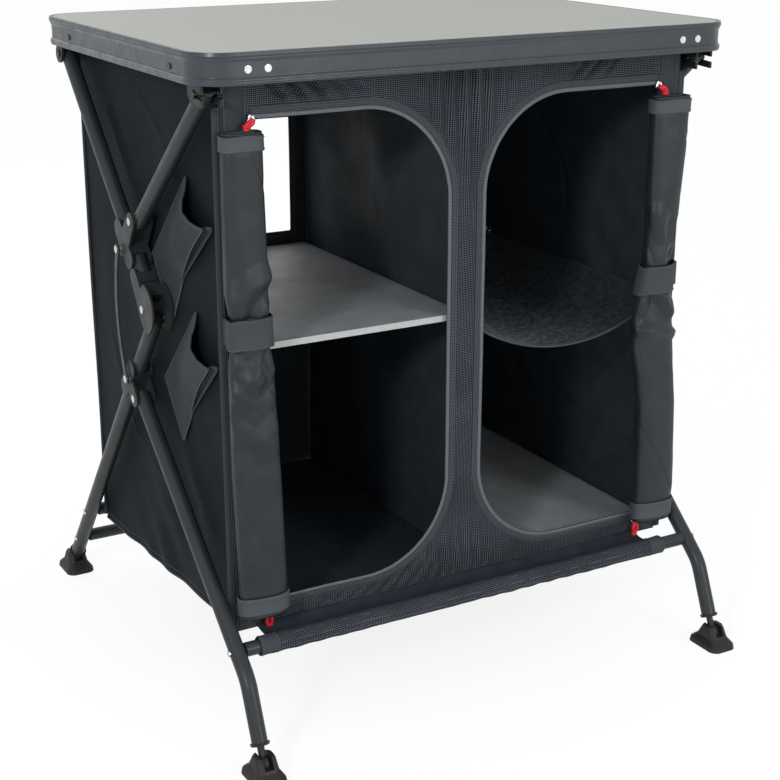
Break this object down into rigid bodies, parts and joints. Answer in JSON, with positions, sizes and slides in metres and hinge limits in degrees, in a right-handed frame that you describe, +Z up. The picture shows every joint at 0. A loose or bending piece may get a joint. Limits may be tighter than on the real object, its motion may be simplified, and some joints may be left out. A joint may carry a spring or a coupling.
{
  "type": "camping kitchen cupboard",
  "caption": "Folding camping cupboard: a laminate table top on crossed tube legs over a cloth cabinet with rolled-up doors, a shelf board, a net shelf and side pockets.",
  "frame": {"origin": "on the floor, midway between the four foot pads", "axes": "+X to the right along the front, +Y to the back, +Z up"},
  "size_m": [0.744, 0.745, 0.85],
  "materials": {
    "laminate": "satin speckled laminate",
    "rim_metal": "satin powder coat",
    "rivet_chrome": "polished",
    "dark_screw": "satin black",
    "tube_metal": "satin powder coat",
    "stay_steel": "satin black",
    "rivet_steel": "plain",
    "hub_plastic": "moulded, matt",
    "cap_plastic": "moulded, matt",
    "foot_rubber": "matt",
    "mesh_cloth": "ribbed mesh",
    "binding_tape": "woven tape",
    "zip_black": "coil zip",
    "zip_red": "cord tab with metal slider",
    "coated_cloth": "coated, slightly glossy",
    "board_grey": "coated cloth over a board",
    "board_edge": "pale edge",
    "net_black": "open net"
  },
  "bodies": {
    "table": {"table_panel": "laminate", "table_rim": "rim_metal", "rim_rivets": "rivet_chrome", "rim_screws": "dark_screw", "rear_hinge_brackets": "hub_plastic", "rear_hinge_pins": "rivet_steel", "front_arm_brackets": "hub_plastic", "front_panel": "mesh_cloth", "left_side_panel": "mesh_cloth", "right_side_panel": "mesh_cloth", "back_panel": "mesh_cloth", "opening_tapes": "binding_tape", "door_zips": "zip_black", "zip_pulls": "zip_red", "centre_divider": "mesh_cloth", "front_floor_flap": "mesh_cloth", "left_door_roll": "coated_cloth", "right_door_roll": "coated_cloth", "door_straps": "binding_tape", "upper_pocket": "mesh_cloth", "lower_pocket": "mesh_cloth"},
    "mid_shelf": {"left_shelf_board": "board_grey", "shelf_front_edge": "board_edge", "net_shelf": "net_black", "net_binding": "binding_tape"},
    "floor": {"floor_panel": "coated_cloth", "right_base_board": "board_grey"},
    "rear_arms": {"left_rear_arm": "tube_metal", "right_rear_arm": "tube_metal", "rear_arm_caps": "cap_plastic", "upper_hubs": "hub_plastic", "upper_hub_rivets": "rivet_steel", "knee_clevises": "hub_plastic"},
    "front_arms": {"left_front_arm": "tube_metal", "right_front_arm": "tube_metal", "front_arm_caps": "cap_plastic", "front_arm_pins": "rivet_steel"},
    "stays": {"left_stay": "stay_steel", "right_stay": "stay_steel", "stay_rivets": "rivet_steel"},
    "rear_legs": {"left_rear_leg": "tube_metal", "right_rear_leg": "tube_metal", "rear_leg_caps": "cap_plastic", "knee_saddles": "stay_steel", "leg_rivets": "rivet_steel", "lower_hubs": "hub_plastic", "rear_rails": "tube_metal", "rear_rail_screws": "dark_screw", "rear_foot_plugs": "cap_plastic"},
    "front_legs": {"left_front_leg": "tube_metal", "right_front_leg": "tube_metal", "front_leg_caps": "cap_plastic", "front_rail": "tube_metal", "front_rail_screws": "dark_screw", "rail_sleeve": "mesh_cloth", "front_foot_plugs": "cap_plastic"},
    "left_rear_pad": {"left_rear_foot_pad": "foot_rubber"},
    "right_rear_pad": {"right_rear_foot_pad": "foot_rubber"},
    "left_front_pad": {"left_front_foot_pad": "foot_rubber"},
    "right_front_pad": {"right_front_foot_pad": "foot_rubber"}
  },
  "joints": [
    {"name": "frame_fold", "type": "hinge", "parent": "table", "child": "rear_arms", "pos_m": [0, 0.2285, 0.8002], "axis": [-1, 0, 0], "range_deg": [0, 36], "deforming": ["front_panel", "left_side_panel", "right_side_panel", "back_panel", "opening_tapes", "door_zips", "zip_pulls", "centre_divider", "front_floor_flap", "left_door_roll", "right_door_roll", "door_straps", "upper_pocket", "lower_pocket"]},
    {"name": "front_arm_fold", "type": "hinge", "parent": "rear_arms", "child": "front_arms", "pos_m": [0, -0.009, 0.617], "axis": [1, 0, 0], "range_deg": [0, 80.8]},
    {"name": "stay_swing", "type": "hinge", "parent": "rear_arms", "child": "stays", "pos_m": [0, 0.027, 0.575], "axis": [1, 0, 0], "range_deg": [0, 116]},
    {"name": "leg_fold", "type": "hinge", "parent": "rear_arms", "child": "rear_legs", "pos_m": [0, -0.0425, 0.5115], "axis": [1, 0, 0], "range_deg": [0, 87.1]},
    {"name": "front_leg_fold", "type": "hinge", "parent": "rear_legs", "child": "front_legs", "pos_m": [0, 0.006, 0.379], "axis": [-1, 0, 0], "range_deg": [0, 92]},
    {"name": "shelf_rise", "type": "slide", "parent": "table", "child": "mid_shelf", "axis": [0, 0, 1], "range_m": [0, 0.291]},
    {"name": "floor_rise", "type": "slide", "parent": "table", "child": "floor", "axis": [0, 0, 1], "range_m": [0, 0.531]},
    {"name": "left_rear_pad_tilt", "type": "hinge", "parent": "rear_legs", "child": "left_rear_pad", "pos_m": [-0.347, 0.3425, 0.018], "axis": [1, 0, 0], "range_deg": [-15, 15]},
    {"name": "right_rear_pad_tilt", "type": "hinge", "parent": "rear_legs", "child": "right_rear_pad", "pos_m": [0.347, 0.3425, 0.018], "axis": [1, 0, 0], "range_deg": [-15, 15]},
    {"name": "left_front_pad_tilt", "type": "hinge", "parent": "front_legs", "child": "left_front_pad", "pos_m": [-0.347, -0.3425, 0.018], "axis": [1, 0, 0], "range_deg": [-15, 15]},
    {"name": "right_front_pad_tilt", "type": "hinge", "parent": "front_legs", "child": "right_front_pad", "pos_m": [0.347, -0.3425, 0.018], "axis": [1, 0, 0], "range_deg": [-15, 15]}
  ],
  "couplings": [
    {"joint": "front_arm_fold", "follows": "frame_fold", "ratio": 2.2306},
    {"joint": "stay_swing", "follows": "frame_fold", "ratio": 3.2083},
    {"joint": "leg_fold", "follows": "frame_fold", "ratio": 2.4056},
    {"joint": "front_leg_fold", "follows": "frame_fold", "ratio": 2.5417},
    {"joint": "shelf_rise", "follows": "frame_fold", "m_per_rad": 0.4615},
    {"joint": "floor_rise", "follows": "frame_fold", "m_per_rad": 0.8435}
  ]
}
